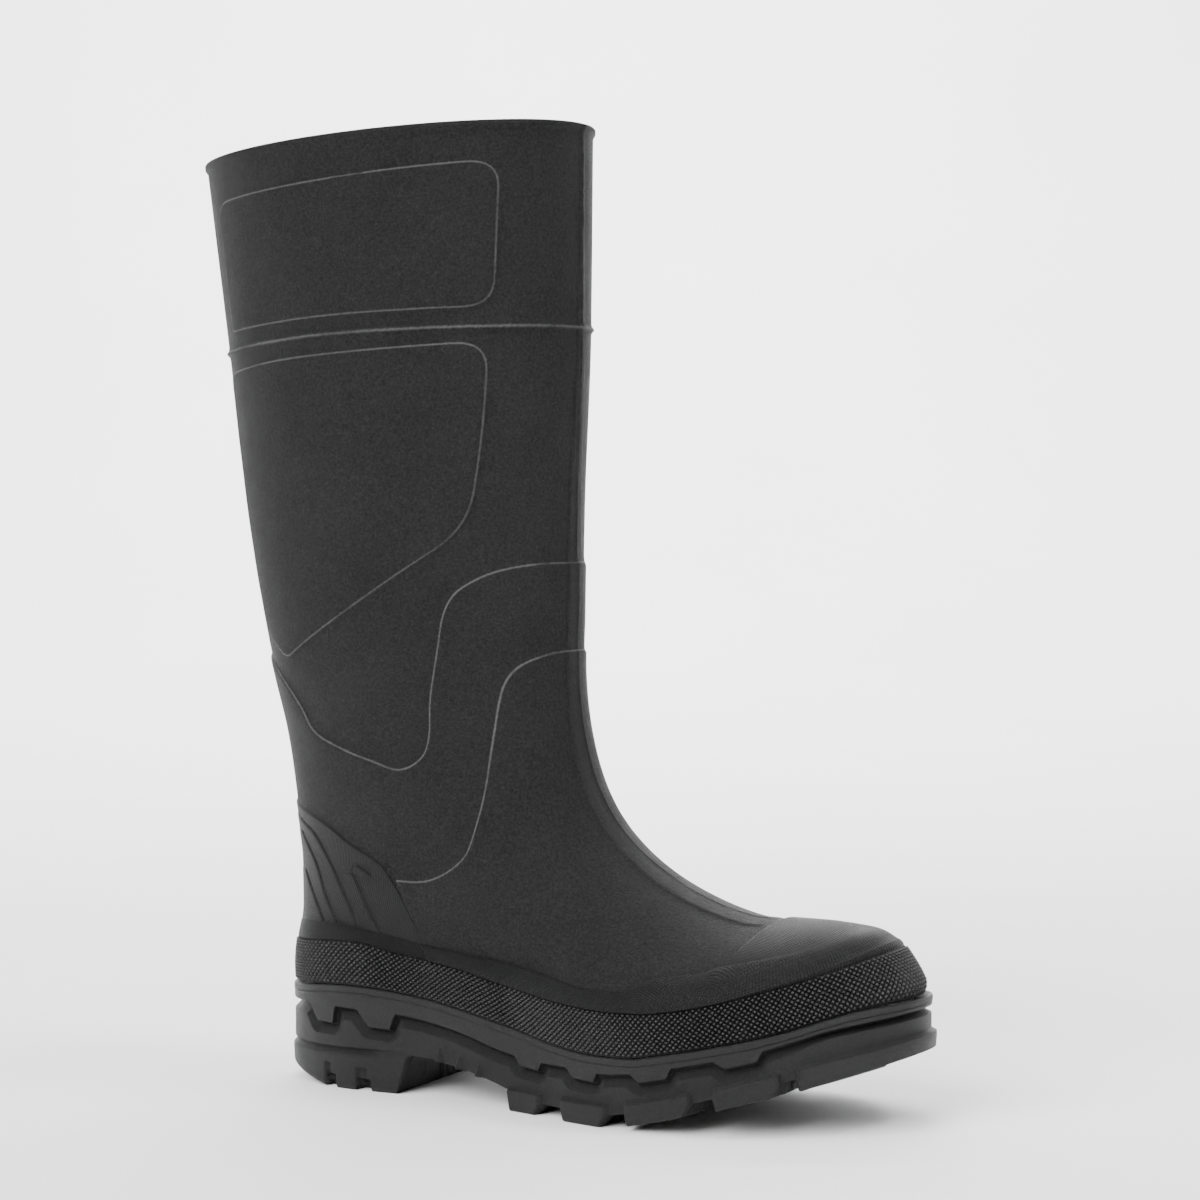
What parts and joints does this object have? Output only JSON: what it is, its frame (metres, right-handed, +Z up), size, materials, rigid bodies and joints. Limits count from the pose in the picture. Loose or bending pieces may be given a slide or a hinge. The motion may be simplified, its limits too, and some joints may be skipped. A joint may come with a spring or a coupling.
{
  "type": "steel toe work boot",
  "caption": "Knee-high black moulded work boot with a steel toe cap, a knurled rand, a lugged sole with a separate heel, a knit lining and a lift-out footbed.",
  "frame": {"origin": "middle of the boot's bounding box in plan, on the ground under the lowest lugs", "axes": "+X towards the toe, +Y towards the inner side of the foot, +Z up along the shaft"},
  "size_m": [0.3338, 0.1214, 0.4061],
  "materials": {
    "upper_rubber": "matt black with a fine moulded grain and a soft sheen",
    "guard_rubber": "matt black, knurled",
    "midsole_rubber": "satin black, smooth moulded wall",
    "outsole_rubber": "satin black, lightly scuffed",
    "heel_core_foam": "closed-cell filler, matt",
    "shank_steel": "rolled strip",
    "toe_cap_steel": "thin grey corrosion coat",
    "edge_strip_rubber": "matt",
    "board_fibre": "pressed fibre, matt",
    "lining_knit": "grey nylon knit",
    "footbed_foam": "soft foam",
    "footbed_cloth": "brushed black cloth"
  },
  "bodies": {
    "foot": {"upper_foot": "upper_rubber", "toe_guard": "guard_rubber", "heel_counter": "guard_rubber", "rand_band": "guard_rubber", "midsole": "midsole_rubber", "outsole": "outsole_rubber", "heel_core": "heel_core_foam", "steel_shank": "shank_steel", "steel_toe_cap": "toe_cap_steel", "toe_cap_edge_strip": "edge_strip_rubber", "insole_board": "board_fibre", "lining_foot": "lining_knit"},
    "leg": {"upper_leg": "upper_rubber", "collar_bead": "upper_rubber", "cuff_rib": "upper_rubber", "lining_leg": "lining_knit"},
    "footbed": {"footbed_foam": "footbed_foam", "footbed_cover": "footbed_cloth"}
  },
  "joints": [
    {"name": "ankle_flex", "type": "hinge", "parent": "foot", "child": "leg", "pos_m": [-0.05305, 0, 0.105], "axis": [0, 1, 0], "range_deg": [-8, 20], "stiffness_Nm_per_rad": 8},
    {"name": "footbed_lift", "type": "hinge", "parent": "foot", "child": "footbed", "pos_m": [0.1424, 0, 0.0465], "axis": [0, 1, 0], "range_deg": [0, 6]}
  ]
}
